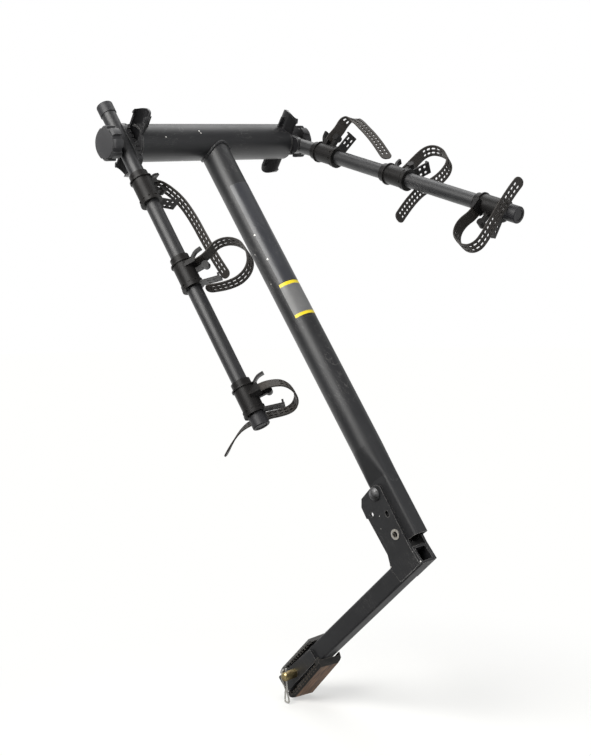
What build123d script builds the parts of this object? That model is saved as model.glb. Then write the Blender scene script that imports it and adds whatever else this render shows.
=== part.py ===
from build123d import *
import math
import os

# Hitch bike rack: folding stinger, mast, cross tube and two bike arms.
# Millimetres. Origin on the hitch pin's axis at the middle of the stinger.
# +Y runs forward to the vehicle, +Z up and square to the stinger, +X to the right.

# Fits
run_gap = 0.1             # radial, a bolt in its hole
pin_gap = 0.3             # radial, the loose hitch pin and lock pin holes
turn_gap = 0.3            # between faces that slide past each other
swivel_gap = 0.3          # radial, cradle sleeve on arm tube

# Stinger and hitch end
stinger_size = 31.75
stinger_wall = 4.2
stinger_corner = 3.2
stinger_rear = -391.4
stinger_front = 43.0
hitch_pin_radius = 7.94

cheek_thick = 4.8
cheek_rear = -66.0
cheek_rear_height = 22.0
cheek_front_height = 31.0

shell_half_width = 25.4
shell_rear = -78.0
shell_front = 37.0
shell_depth = 9.8         # from rib tips to the outer flat
shell_skin = 3.0
shell_side_height = 3.6   # height of the long side walls above the skin
shell_chamfer = 5.4
shell_rear_block = 13.0   # solid, bevelled end towards the mast
shell_front_block = 7.0   # solid end towards the vehicle
shell_lip = 4.6           # the lower shell's end walls stand this much past the rib tips
rib_thick = 2.6
rib_pitch = 8.0
lower_droop = 4.2         # degrees, front end down
lower_roll = 5.0          # degrees, left side up
upper_droop = 1.8
upper_shift = 8.0         # the loose upper shell lies this far to the right
hook_width = 22.0
hook_thick = 3.0
hook_reach = 9.0          # of the hook's lip into the stinger
hook_gap = 0.5

pin_left_reach = 47.0
pin_bend_start = 34.0
pin_bend_radius = 16.0
pin_leg = 42.0
handle_angle = 247.0      # degrees forward of straight down, where the bent handle points
clip_station = 40.0
clip_wire_radius = 1.6
clip_length = 56.0
hang_angle = 41.4         # degrees forward of straight down, where the clip hangs

# Pivot
pivot_back = 389.1        # behind the hitch pin
pivot_height = 119.45     # above the stinger's axis
plate_thick = 4.8
bolt_radius = 6.0
bolt_head_radius = 11.0
bolt_head_height = 7.5
nut_flats = 19.0
nut_height = 10.5
washer_radius = 12.0
washer_thick = 2.2
plate_foot = 14.4         # plates' lower edge below the stinger's axis
plate_foot_front = -331.0
lock_drop = 72.5          # lock hole below the pivot, along the mast
lock_hole_radius = 4.8
bush_radius = 8.0
bush_flange_radius = 8.6
bush_flange = 1.2
small_hole_radius = 4.0

# Mast and cross tube
mast_lean = 7.0           # degrees rearward of square to the stinger
mast_radius = 25.4
mast_wall = 3.0
mast_behind_pivot = 12.9
mast_to_cross = 693.5     # pivot to cross tube axis, along the mast
pressed_width = 31.0
pressed_depth = 48.0
pressed_corner = 7.0
pressed_bottom = 90.0     # below the pivot
pressed_top = 18.0        # where the pressed end starts to open into the round
round_bottom = 74.0       # where the tube is fully round
cross_radius = 31.75
cross_wall = 3.0
cross_half = 168.0

# Arm hubs, one at each end of the cross tube
hub_flange = 4.0
hub_face = cross_half + hub_flange    # outer face of the flange
flange_groove = 0.9
plug_depth = 26.0
seat_angle = 110.0        # arm's working angle from folded, degrees
seat_radius = 14.5
seat_wall = 3.4
seat_axis = hub_face + 1.5
ear_reach = 64.0
lobe_reach = 64.0
ear_half_width = 18.5
flare_start = 48.0
flare_reach = hub_face + 2.6          # how far out the ears' tips stand
shoe_depth = 22.0                     # of the ears behind the flange's face
hub_rib_thick = 3.0
arm_bolt_radius = 4.75
arm_bolt_head = 7.5
arm_bolt_head_height = 5.0

# Arms
arm_x = hub_face + 16.0
arm_radius = 12.7
arm_wall = 2.0
arm_front = 545.6
arm_rear = 79.2
cap_length = 19.8
cap_wall = 1.4
cap_end = 3.0
cap_dish = 1.2
left_arm_angle = 0.0      # as photographed, degrees from folded
right_arm_angle = 39.56
saddle_front = 46.0
saddle_rear = 38.0
saddle_half_width = 15.0
saddle_inner = hub_face + turn_gap
saddle_outer = arm_x - 4.0
saddle_notch = 3.0
saddle_pitch = 9.0

# Knobs
knob_back = arm_x + 19.0
knob_face = knob_back + 21.0
knob_radius = 29.0
knob_core_radius = 25.2
knob_boss_radius = 13.0
knob_lobes = 8
knob_lobe_width = 13.6
knob_lobe_setback = 3.4   # lobes' fronts behind the knob's face
knob_bevel = 3.0
knob_dome = 2.2
arm_bolt_end = knob_face - 7.0

# Cradles
sleeve_radius = 17.0
ring_radius = 19.2
boss_radius = 16.0
ring_spacing = 36.0
ring_thick = 2.2
boss_length = 10.5
collar_radius = 18.4
collar_length = 6.0
front_ring = 3.5
collar_notches = 10
collar_notch = 4.4
root_top = 23.0
root_thick = 9.0
strap_width = 21.0
strap_thick = 3.2
horn_back = 28.0
horn_top = 39.0
horn_width = 9.0
head_height = 34.0
head_radius = 6.0
head_width = 13.0
tongue_thick = 2.6
tongue_width = 22.0
tongue_reach = 48.0
tongue_tilt = 14.0
tongue_hole = 5.0
tongue_peg = 3.2
peg_height = 6.5
front_inset_left = 49.1   # front cradles, measured back from the arm's end
front_inset_right = 55.6

X = Vector(1, 0, 0)
lean = math.radians(mast_lean)
mast_up = Vector(0, -math.sin(lean), math.cos(lean))
mast_front = Vector(0, math.cos(lean), math.sin(lean))
pivot = Vector(0, -pivot_back, pivot_height)
mast_plane = Plane(origin=pivot, x_dir=X, z_dir=mast_up)
cross_centre = pivot - mast_front * mast_behind_pivot + mast_up * mast_to_cross
half_stinger = stinger_size / 2


def arm_direction(angle):
    """Unit vector along an arm that stands angle degrees from folded."""
    a = math.radians(angle)
    return mast_up * -math.cos(a) - mast_front * math.sin(a)


def rod(radius, start, end):
    """Round bar along X from start to end, on the X axis."""
    bar = Cylinder(radius, end - start, align=(Align.CENTER, Align.CENTER, Align.MIN))
    return Pos(start, 0, 0) * Rot(0, 90, 0) * bar


def side_plate(outline, x_inner, thick):
    """Plate normal to X: an outline of (y, z) points, from x_inner outward."""
    wire = Polyline(*[(0, y, z) for y, z in outline], close=True)
    direction = X if thick > 0 else -X
    return Pos(x_inner, 0, 0) * extrude(make_face(wire), amount=abs(thick), dir=direction)


def rib_stations():
    """Places of the shell's ribs along Y, evenly spread between the solid ends."""
    room = shell_front - shell_rear - shell_rear_block - shell_front_block
    count = int(room / rib_pitch)
    first = shell_rear + shell_rear_block + (room - (count - 1) * rib_pitch) / 2
    return [first + i * rib_pitch for i in range(count)]


# Stinger and hitch end
def make_stinger():
    length = stinger_front - stinger_rear
    start = Plane(origin=(0, stinger_rear, 0), x_dir=X, z_dir=(0, 1, 0))
    inner = stinger_size - 2 * stinger_wall
    inner_corner = max(stinger_corner - stinger_wall, 0.6)
    section = RectangleRounded(stinger_size, stinger_size, stinger_corner)
    section -= RectangleRounded(inner, inner, inner_corner)
    tube = extrude(start * section, amount=length)
    hole = rod(hitch_pin_radius + pin_gap, -stinger_size, stinger_size)
    return tube - hole


def make_cheek(side):
    """Reinforcing plate on the stinger's side round the hitch pin hole."""
    rear = cheek_rear_height / 2
    front = cheek_front_height / 2
    outline = [(cheek_rear, -rear), (stinger_front, -front), (stinger_front, front), (cheek_rear, rear)]
    plate = side_plate(outline, side * half_stinger, side * cheek_thick)
    upright = plate.edges().filter_by(Axis.X)
    plate = fillet(upright, 3.0)
    return plate - rod(hitch_pin_radius + pin_gap, -60, 60)


def make_shell(lip):
    """Ribbed adapter shell before it is placed: rib tips on z = 0, outer flat at z = shell_depth.

    At its two ends the side walls stand lip past the rib tips."""
    w = shell_half_width
    d = shell_depth
    inner = w - shell_skin
    base = d - shell_skin
    section = [(-w, -lip), (-w, d - shell_chamfer), (-w + shell_chamfer, d), (w - shell_chamfer, d),
               (w, d - shell_chamfer), (w, -lip), (inner, -lip), (inner, 0), (-inner, 0), (-inner, -lip)]
    if lip == 0:
        section = section[:6]
    start = Plane(origin=(0, shell_rear, 0), x_dir=-X, z_dir=(0, 1, 0))
    outer = extrude(start * make_face(Polyline(*section, close=True)), amount=shell_front - shell_rear)
    room = shell_front - shell_rear - shell_rear_block - shell_front_block
    pocket = Box(2 * inner, room, d + lip, align=(Align.CENTER, Align.MIN, Align.MAX))
    window = Box(4 * w, room, d + lip, align=(Align.CENTER, Align.MIN, Align.MAX))
    outer -= Pos(0, shell_rear + shell_rear_block, base) * pocket
    outer -= Pos(0, shell_rear + shell_rear_block, base - shell_side_height) * window
    profile = [(shell_rear, -lip), (shell_rear + 0.4 * shell_rear_block, d - 1.8),
               (shell_rear + 0.8 * shell_rear_block, d), (shell_front - 6, d), (shell_front - 1.6, d - 2.6),
               (shell_front, d - 6.5), (shell_front, -lip)]
    outer &= side_plate(profile, -2 * w, 4 * w)
    rib = Box(2 * w - 2, rib_thick, base, align=(Align.CENTER, Align.CENTER, Align.MIN))
    for station in rib_stations():
        outer += Pos(0, station, 0) * rib
    return outer


def make_upper_shell():
    """Lies loose on the stinger: touches with its front rib, its rear end lifted."""
    touch = rib_stations()[-1] + rib_thick / 2
    shell = Pos(upper_shift, -touch, 0) * make_shell(0)
    return Pos(0, touch, half_stinger + turn_gap) * Rot(-upper_droop, 0, 0) * shell


def make_lower_shell():
    """Hangs by a hook in the stinger's open end, its rear end just under the stinger."""
    tilt = Rot(-lower_droop, lower_roll, 0)
    lift = half_stinger * math.sin(math.radians(lower_roll))
    rear_rise = -(shell_rear + shell_rear_block) * math.tan(math.radians(lower_droop))
    drop = half_stinger + turn_gap + lift + rear_rise
    shell = Pos(0, 0, -drop) * tilt * mirror(make_shell(shell_lip), about=Plane.XY)
    front = stinger_front + hook_gap
    floor = half_stinger - stinger_wall - hook_gap
    rear = shell_front - shell_front_block / 2
    low = drop + rear * math.tan(math.radians(lower_droop)) + shell_skin
    outline = [(rear, -low), (front + hook_thick, -low), (front + hook_thick, hook_thick - floor),
               (front - hook_reach, hook_thick - floor), (front - hook_reach, -floor), (front, -floor),
               (front, 0.8 - low + hook_thick), (rear, 0.8 - low + hook_thick)]
    return shell + side_plate(outline, -hook_width / 2, hook_width)


def make_hitch_pin():
    """Bent pin: straight through the stinger, a right-angle bend and a short handle."""
    turn = math.radians(handle_angle)
    down = Vector(0, math.sin(turn), -math.cos(turn))
    bend = Vector(pin_bend_start, 0, 0)
    corner = bend + X * pin_bend_radius
    path = FilletPolyline(X * -pin_left_reach, corner, corner + down * (pin_bend_radius + pin_leg),
                          radius=pin_bend_radius)
    profile = Plane(origin=path @ 0, z_dir=path % 0) * Circle(hitch_pin_radius)
    pin = sweep(profile, path=path)
    hole = Cylinder(clip_wire_radius + run_gap, 40)
    pin -= Pos(-clip_station, 0, 0) * Rot(hang_angle, 0, 0) * hole
    tip = Cone(hitch_pin_radius - 2, hitch_pin_radius, 2.5, align=(Align.CENTER, Align.CENTER, Align.MIN))
    ring = Cylinder(hitch_pin_radius + 2, 2.5, align=(Align.CENTER, Align.CENTER, Align.MIN)) - tip
    return pin - Pos(-pin_left_reach, 0, 0) * Rot(0, 90, 0) * ring


def make_clip():
    """Hairpin of round wire: one leg through the pin, the other bowed over it."""
    bow = hitch_pin_radius + clip_wire_radius + turn_gap
    neck = bow + 14.0
    half_gap = clip_wire_radius + 0.35
    tail = clip_length - bow
    points = [(0, -bow - 4), (0, neck + 4), (-half_gap - 1.2, tail - 5), (-half_gap - 1.2, tail + 1.5),
              (3.2 * half_gap, tail + 1.5), (3.2 * half_gap, tail - 5), (2 * half_gap, neck),
              (bow + 2.5, bow * 0.62), (bow + 0.9, -bow * 0.62), (bow * 0.42, -bow - 1.8)]
    radii = [9, 6, 2.2, 2.2, 6, 7, 8, 7]
    plane = Plane(origin=(-clip_station, 0, 0), x_dir=(0, math.cos(math.radians(hang_angle)),
                  math.sin(math.radians(hang_angle))), z_dir=X)
    path = FilletPolyline(*[(x, -y) for x, y in points], radius=radii)
    path = plane * path
    profile = Plane(origin=path @ 0, z_dir=path % 0) * Circle(clip_wire_radius)
    return sweep(profile, path=path)


# Pivot
def mast_point(front, along):
    """(y, z) of a point given in front of the pivot and up along the mast."""
    p = pivot + mast_front * front + mast_up * along
    return (p.Y, p.Z)


def make_pivot_plate(side):
    """Flat plate welded to the stinger's side that carries the pivot and the lock hole."""
    outline = [mast_point(-17, 5), mast_point(-11, 11.5), mast_point(5.5, 11.9), mast_point(31.7, 7.3),
               mast_point(40.5, -4), mast_point(41.7, -24.3), mast_point(38.7, -25.8),
               mast_point(36.2, -91.9), mast_point(40.2, -104), (plate_foot_front, half_stinger - 4),
               (plate_foot_front - 4, -plate_foot), (stinger_rear + 1, -plate_foot), (stinger_rear, half_stinger)]
    plate = side_plate(outline, side * half_stinger, side * plate_thick)
    holes = [(0, 0, bolt_radius + run_gap), (0, -lock_drop, bush_radius),
             (27, -23.7, small_hole_radius), (-4.4, -36.3, small_hole_radius)]
    for front, along, radius in holes:
        y, z = mast_point(front, along)
        plate -= Pos(0, y, z) * rod(radius, -60, 60)
    y, z = mast_point(-4.4, -39.5)
    return plate - Pos(0, y, z) * rod(small_hole_radius, -60, 60)


def at_pivot(part, front=0.0, along=0.0):
    """Moves a part made round the X axis to a place in the mast's frame."""
    y, z = mast_point(front, along)
    return Pos(0, y, z) * part


plate_outer = half_stinger + plate_thick


def make_pivot_bolt():
    """Domed head on the left, shank right through, end standing past the nut."""
    shank = rod(bolt_radius, -plate_outer, plate_outer + washer_thick + nut_height + 4)
    rim = 2.0
    dome = bolt_head_height - rim
    dome_radius = (bolt_head_radius ** 2 + dome ** 2) / (2 * dome)
    head = rod(bolt_head_radius, -plate_outer - rim, -plate_outer)
    ball = Pos(-plate_outer - rim - dome + dome_radius, 0, 0) * Sphere(dome_radius)
    head += ball & rod(bolt_head_radius, -plate_outer - bolt_head_height, -plate_outer - rim)
    return at_pivot(shank + head)


def make_pivot_nut():
    nut = extrude(Plane.YZ * RegularPolygon(nut_flats / 2, 6, major_radius=False), amount=nut_height)
    nut = chamfer(nut.faces().sort_by(Axis.X)[-1].edges(), 0.9)
    washer = rod(washer_radius, plate_outer, plate_outer + washer_thick)
    nut = Pos(plate_outer + washer_thick, 0, 0) * nut + washer
    return at_pivot(nut - rod(bolt_radius + run_gap / 2, 0, 60))


def make_lock_bush(side):
    """Plated bush in the lock hole, with a thin outer flange."""
    bush = rod(bush_radius, half_stinger, plate_outer)
    bush += rod(bush_flange_radius, plate_outer, plate_outer + bush_flange)
    bush -= rod(lock_hole_radius + pin_gap, 0, 60)
    if side < 0:
        bush = mirror(bush, about=Plane.YZ)
    return at_pivot(bush, 0, -lock_drop)


# Mast and cross tube
def mast_section(width, depth, corner, front, along):
    """Rounded rectangle square to the mast, its middle front of the pivot."""
    return Pos(0, front, along) * RectangleRounded(width, depth, corner)


def mast_body(inset):
    """The mast's outside, or its bore for inset equal to the wall."""
    r = mast_radius - inset
    middle = -(pressed_depth / 2 - 12.5)
    flat = (pressed_width - 2 * inset, pressed_depth - 2 * inset, pressed_corner - inset)
    low = extrude(mast_section(*flat, middle, -pressed_bottom), amount=pressed_bottom + pressed_top)
    bottom = mast_section(*flat, middle, pressed_top)
    top = mast_section(2 * r, 2 * r, r - 0.05, -mast_behind_pivot, round_bottom)
    swell = loft([bottom, top])
    shaft = Pos(0, -mast_behind_pivot, round_bottom) * Cylinder(
        r, mast_to_cross - round_bottom, align=(Align.CENTER, Align.CENTER, Align.MIN))
    return low + swell + shaft


def make_mast():
    mast = mast_body(0) - mast_body(mast_wall)
    mast -= rod(bolt_radius + run_gap, -60, 60)
    mast -= Pos(0, 0, -lock_drop) * rod(lock_hole_radius + pin_gap, -60, 60)
    mast -= Pos(0, -mast_behind_pivot, mast_to_cross) * rod(cross_radius, -60, 60)
    return mast_plane.location * mast


def make_cross_tube():
    tube = rod(cross_radius, -cross_half, cross_half) - rod(cross_radius - cross_wall, -cross_half, cross_half)
    return Pos(*cross_centre) * tube


# Hubs: made for the right end with the seat along +Z, then turned and mirrored
def make_hub(side):
    """Plug, flange and two ears with a seat for the arm along them."""
    bore = cross_radius - cross_wall
    inside = cross_half - 2 * plug_depth
    outside = hub_face + 2 * plug_depth
    hub = rod(bore - run_gap, cross_half - plug_depth, cross_half)
    hub += rod(cross_radius, cross_half, hub_face)
    reach = ear_reach + lobe_reach
    middle = (ear_reach - lobe_reach) / 2
    back = hub_face - shoe_depth
    shoe = extrude(Plane.YZ * SlotOverall(reach, 2 * ear_half_width, rotation=90), amount=flare_reach - back)
    shoe = Pos(back, 0, middle) * shoe
    outer = Pos(seat_axis, 0, 0) * Cylinder(seat_radius + seat_wall, 2 * reach)
    hub += shoe & outer
    rib = Box(12, hub_rib_thick, reach - 24)
    hub += Pos(seat_axis - seat_radius - 5, 0, middle) * (rib & Pos(6, 0, 0) * Box(24, 60, reach))
    hub -= Pos(seat_axis, 0, 0) * Cylinder(seat_radius, 2 * reach)
    block = Box(20, 4 * ear_half_width, 2 * flare_start, align=(Align.MIN, Align.CENTER, Align.CENTER))
    hub -= Pos(hub_face, 0, 0) * block
    hub -= rod(arm_bolt_radius + run_gap, inside, outside)
    hub -= rod(cross_radius + run_gap, inside, cross_half) - rod(bore - run_gap, inside, cross_half)
    low = cross_half + 0.3 * hub_flange
    high = cross_half + 0.7 * hub_flange
    hub -= rod(2 * cross_radius, low, high) - rod(cross_radius - flange_groove, low, high) - shoe
    if side < 0:
        hub = mirror(hub, about=Plane.YZ)
    turn = Plane(origin=cross_centre, x_dir=X, z_dir=arm_direction(seat_angle))
    return turn.location * hub


def make_arm_bolt(side):
    """Hub bolt: head against the back of the plug, shank through the arm into the knob."""
    start = cross_half - plug_depth
    head = extrude(Plane.YZ * RegularPolygon(arm_bolt_head, 6), amount=arm_bolt_head_height)
    bolt = Pos(start - arm_bolt_head_height, 0, 0) * head + rod(arm_bolt_radius, start, arm_bolt_end)
    if side < 0:
        bolt = mirror(bolt, about=Plane.YZ)
    return Pos(*cross_centre) * bolt


# Arms: made hanging along -Z with the hub axis on X, then turned
def arm_location(side):
    angle = left_arm_angle if side < 0 else right_arm_angle
    origin = cross_centre + X * (side * arm_x)
    return Plane(origin=origin, x_dir=X, z_dir=-arm_direction(angle)).location


def make_arm_tube(side):
    low = -arm_front + cap_end
    high = arm_rear - cap_end
    tube = Pos(0, 0, low) * Cylinder(arm_radius, high - low, align=(Align.CENTER, Align.CENTER, Align.MIN))
    bore = Pos(0, 0, low) * Cylinder(arm_radius - arm_wall, high - low,
                                     align=(Align.CENTER, Align.CENTER, Align.MIN))
    tube -= bore
    tube -= rod(arm_bolt_radius + run_gap, -60, 60)
    return arm_location(side) * tube


def make_cap(side, end):
    """Moulded cap over the tube's end: end 1 is the rear stub, -1 the free end."""
    tip = arm_rear if end > 0 else arm_front
    outer = Cylinder(arm_radius + cap_wall, cap_length, align=(Align.CENTER, Align.CENTER, Align.MAX))
    rim = outer.edges().filter_by(GeomType.CIRCLE).sort_by(Axis.Z)[-1]
    cap = fillet(rim, 1.8)
    inner = Cylinder(arm_radius, cap_length, align=(Align.CENTER, Align.CENTER, Align.MAX))
    cap -= Pos(0, 0, -cap_end) * inner
    cap -= Cylinder(arm_radius - 3.2, cap_dish, align=(Align.CENTER, Align.CENTER, Align.MAX))
    cap = Pos(0, 0, tip) * cap
    if end < 0:
        cap = mirror(cap, about=Plane.XY)
    return arm_location(side) * cap


def make_saddle(side):
    """Notched plastic saddle between the hub and the arm; it turns with the arm."""
    length = saddle_front + saddle_rear
    height = saddle_outer - saddle_inner
    block = extrude(Plane.YZ * SlotOverall(length, 2 * saddle_half_width, rotation=90), amount=height)
    block = Pos(saddle_inner - arm_x, 0, (saddle_rear - saddle_front) / 2) * block
    block -= Cylinder(arm_radius, 3 * length)
    notches = int(length / saddle_pitch) - 1
    for i in range(notches):
        z = (i - (notches - 1) / 2) * saddle_pitch + (saddle_rear - saddle_front) / 2
        for y in (-saddle_half_width, saddle_half_width):
            block -= Pos(saddle_inner - arm_x, y, z) * Box(2 * saddle_notch + 6, 2 * saddle_notch, saddle_notch)
    block -= rod(arm_bolt_radius + run_gap, -60, 60)
    if side < 0:
        block = mirror(block, about=Plane.YZ)
    return arm_location(side) * block


# Knobs
def make_knob(side):
    """Eight-lobed clamping knob on the hub bolt, with a low domed face."""
    start = arm_x + arm_radius + turn_gap
    length = knob_face - knob_back
    front = length - knob_lobe_setback
    outline = Circle(knob_core_radius)
    for i in range(knob_lobes):
        lobe = Pos(knob_radius / 2, 0) * Rectangle(knob_radius, knob_lobe_width)
        outline += Rot(0, 0, 360 / knob_lobes * i) * lobe
    outline &= Circle(knob_radius)
    knob = extrude(outline, amount=length)
    rim = length - knob_dome
    wide = knob_radius + 1
    disc = knob_core_radius - 0.6
    profile = make_face(Polyline((0, -1), (wide, -1), (wide, front - knob_bevel - 1),
                                 (knob_radius - knob_bevel, front), (disc, front), (disc, rim)) +
                        ThreePointArc((disc, rim), (disc * 0.55, rim + 0.72 * knob_dome),
                                      (0, rim + knob_dome)) + Line((0, rim + knob_dome), (0, -1)))
    knob &= revolve(Plane.XZ * profile, axis=Axis.Z)
    boss = Cylinder(knob_boss_radius, knob_back - start, align=(Align.CENTER, Align.CENTER, Align.MAX))
    knob = Pos(knob_back, 0, 0) * Rot(0, 90, 0) * (knob + boss)
    knob -= rod(arm_bolt_radius + run_gap, 0, arm_bolt_end + 1)
    if side < 0:
        knob = mirror(knob, about=Plane.YZ)
    return Pos(*cross_centre) * knob


# Cradles and straps. Each entry: side, station along the arm, turn of the cradle about the arm,
# yaw and side shift of the strap's plane, and the strap's route as (along, out) points.
cradles = {
    "left_rear": (-1, 95.5, 0, 0, 0,
                  [(-11, 23), (-11, 31), (2, 46), (20, 58), (40, 65), (69, 69), (98, 70), (134, 72), (170, 78)]),
    "left_middle": (-1, 262.5, 50, -15, -7,
                    [(-8, 23.2), (-7, 31), (-11, 46), (-21, 64), (-15, 86), (5, 102), (36, 105), (56, 94), (65, 75),
                     (63, 55), (56, 35), (48, 19)]),
    "left_front": (-1, arm_front - front_inset_left, 43, 50, -4,
                   [(-9, 23), (-9, 32), (-5, 46), (2, 59), (17, 68), (36, 70), (49, 62), (53, 50), (50, 34),
                    (44, 15), (43, -14), (46, -29), (53, -42), (65, -58), (78, -72)]),
    "right_rear": (1, 107.0, 60, 0, 0,
                   [(-9, 23), (-9, 32), (-3, 48), (-3, 66), (7, 77), (27, 75), (47, 67), (68, 59), (92, 48), (118, 34),
                    (134, 25)]),
    "right_middle": (1, 280.0, 30, 15, 15,
                     [(-11, 23), (-11, 31), (-17, 66), (-19, 90), (-12, 105), (5, 110), (25, 104), (38, 88), (44, 66),
                      (45, 43), (40, 13), (43, -12), (49, -39), (58, -69)]),
    "right_front": (1, arm_front - front_inset_right, 230, 15, 15,
                    [(-14, 23), (-14, 31), (-24, 46), (-24, 62), (-13, 79), (11, 92), (33, 94), (46, 85), (47, 67),
                     (43, 43), (40, 19), (37, -7), (36, -32), (38, -50)]),
}


def cradle_plane(side, station, turn):
    """Frame on the arm's axis: z to the arm's free end, x out to the cradle's strap side."""
    angle = left_arm_angle if side < 0 else right_arm_angle
    along = arm_direction(angle)
    across = along.cross(X)
    t = math.radians(turn)
    out = X * math.cos(t) + across * math.sin(t)
    origin = cross_centre + X * (side * arm_x) + along * station
    return Plane(origin=origin, x_dir=out, z_dir=along)


def strap_plane(yaw, shift):
    """The strap's plane inside a cradle's frame: x along the arm, y outward."""
    t = math.radians(yaw)
    return Plane(origin=(0, -shift, 0), x_dir=(0, -math.sin(t), math.cos(t)),
                 z_dir=(0, math.cos(t), math.sin(t)))


def corner_radii(points):
    """Largest even arc at each corner: 0.45 of the shorter run over tan of half the turn."""
    radii = []
    for a, b, c in zip(points, points[1:], points[2:]):
        first = Vector(b[0] - a[0], b[1] - a[1], 0)
        second = Vector(c[0] - b[0], c[1] - b[1], 0)
        turn = math.radians(first.get_angle(second))
        radii.append(0.45 * min(first.length, second.length) / math.tan(turn / 2))
    return radii


def make_strap(side, station, turn, yaw, shift, route):
    plane = strap_plane(yaw, shift)
    path = plane * FilletPolyline(*route, radius=corner_radii(route))
    section = Plane(origin=path @ 0, x_dir=plane.z_dir, z_dir=path % 0) * Rectangle(strap_width, strap_thick)
    strap = sweep(section, path=path)
    return cradle_plane(side, station, turn).location * strap


def bar_along(points, width, thick):
    """Flat curved bar in the XY plane, through points with rounded corners."""
    path = FilletPolyline(*points, radius=corner_radii(points))
    section = Plane(origin=path @ 0, x_dir=(0, 0, 1), z_dir=path % 0) * Rectangle(width, thick)
    return sweep(section, path=path)


def make_cradle(side, station, turn, yaw, shift, route):
    """Sleeve with rings, a strap root, a horn behind, a round-headed lug and a tongue in front."""
    half = ring_spacing / 2
    steps = [(boss_radius, -half - ring_thick - boss_length, -half - ring_thick),
             (ring_radius, -half - ring_thick, -half), (sleeve_radius, -half, half),
             (collar_radius, half, half + collar_length),
             (ring_radius, half + collar_length, half + collar_length + front_ring)]
    cradle = None
    for radius, low, high in steps:
        step = Pos(0, 0, low) * Cylinder(radius, high - low, align=(Align.CENTER, Align.CENTER, Align.MIN))
        cradle = step if cradle is None else cradle + step
    notch = Box(4, collar_notch, collar_length - 3, align=(Align.MIN, Align.CENTER, Align.MIN))
    for i in range(collar_notches):
        cradle -= Rot(0, 0, 360 / collar_notches * (i + 0.5)) * Pos(collar_radius - 1.2, 0, half + 1.5) * notch
    horn = [(-half + 1, boss_radius - 1), (-half - 0.32 * horn_back, 0.72 * horn_top), (-horn_back, horn_top)]
    side_view = Plane(origin=(0, 0, 0), x_dir=(0, 0, 1), z_dir=(0, 1, 0))
    cradle += side_view * bar_along(horn, horn_width, 4.2)
    head = Rot(90, 0, 0) * Cylinder(head_radius, head_width)
    stem = Box(head_height, head_width - 5, 6.5, align=(Align.MIN, Align.CENTER, Align.CENTER))
    cradle += Pos(head_height, 0, 2) * head + Pos(0, 0, 2) * stem
    plane = strap_plane(yaw, shift)
    root = Box(root_thick, root_top - 4, strap_width + 2.5, align=(Align.CENTER, Align.MAX, Align.CENTER))
    cradle += plane.location * Pos(route[0][0], root_top, 0) * root
    tongue = Pos(0, tongue_reach / 2, 0) * Box(tongue_thick, tongue_reach, tongue_width)
    for out in (0.6 * tongue_reach, 0.8 * tongue_reach):
        for side_step in (-0.24 * tongue_width, 0.24 * tongue_width):
            tongue -= Pos(0, out, side_step) * Box(3 * tongue_thick, tongue_hole, tongue_hole)
    for side_step in (-0.4 * tongue_width, 0.4 * tongue_width):
        peg = Box(peg_height, tongue_peg, tongue_peg, align=(Align.MAX, Align.MAX, Align.CENTER))
        tongue += Pos(0, tongue_reach, side_step) * peg
    cradle += side_view * Pos(half + collar_length - 2, 0, 0) * Rot(0, 0, -tongue_tilt) * tongue
    cradle -= Cylinder(arm_radius + swivel_gap, 4 * ring_spacing)
    return cradle_plane(side, station, turn).location * cradle


nodes = {
    "stinger_tube": make_stinger(),
    "adapter_shell_upper": make_upper_shell(),
    "adapter_shell_lower": make_lower_shell(),
    "hitch_pin": make_hitch_pin(),
    "hairpin_clip": make_clip(),
    "pivot_bolt": make_pivot_bolt(),
    "pivot_nut": make_pivot_nut(),
    "mast_tube": make_mast(),
    "cross_tube": make_cross_tube(),
}
for name, side in (("left", -1), ("right", 1)):
    nodes["cheek_plate_" + name] = make_cheek(side)
    nodes["pivot_plate_" + name] = make_pivot_plate(side)
    nodes["lock_bush_" + name] = make_lock_bush(side)
    nodes["hub_bracket_" + name] = make_hub(side)
    nodes["arm_bolt_" + name] = make_arm_bolt(side)
    nodes["arm_tube_" + name] = make_arm_tube(side)
    nodes["arm_saddle_" + name] = make_saddle(side)
    nodes["arm_cap_rear_" + name] = make_cap(side, 1)
    nodes["arm_cap_front_" + name] = make_cap(side, -1)
    nodes["clamp_knob_" + name] = make_knob(side)
for name, sizes in cradles.items():
    nodes["cradle_" + name] = make_cradle(*sizes)
    nodes["strap_" + name] = make_strap(*sizes)

os.makedirs("parts", exist_ok=True)
for name, shape in nodes.items():
    export_step(shape, "parts/" + name + ".step")
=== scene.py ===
import math
import bpy
import numpy as np
from mathutils import Matrix, Vector


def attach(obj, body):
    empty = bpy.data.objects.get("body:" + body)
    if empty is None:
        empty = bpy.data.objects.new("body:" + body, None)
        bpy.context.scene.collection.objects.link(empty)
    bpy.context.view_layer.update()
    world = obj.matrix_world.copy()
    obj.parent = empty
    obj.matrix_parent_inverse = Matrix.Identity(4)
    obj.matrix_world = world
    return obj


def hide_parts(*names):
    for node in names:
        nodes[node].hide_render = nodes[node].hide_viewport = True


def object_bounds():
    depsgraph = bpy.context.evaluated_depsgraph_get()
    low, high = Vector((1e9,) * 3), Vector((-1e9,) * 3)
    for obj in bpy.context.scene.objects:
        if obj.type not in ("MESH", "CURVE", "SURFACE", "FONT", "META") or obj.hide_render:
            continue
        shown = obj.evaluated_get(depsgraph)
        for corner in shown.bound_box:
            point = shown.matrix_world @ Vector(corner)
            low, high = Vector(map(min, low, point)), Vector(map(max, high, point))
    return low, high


# Hitch bike rack. Metres, in the CAD's own frame: +Y runs to the vehicle and +Z is square to the
# stinger. The rack lies tilted on the floor, so down is against skyward and not along -Z.

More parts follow.
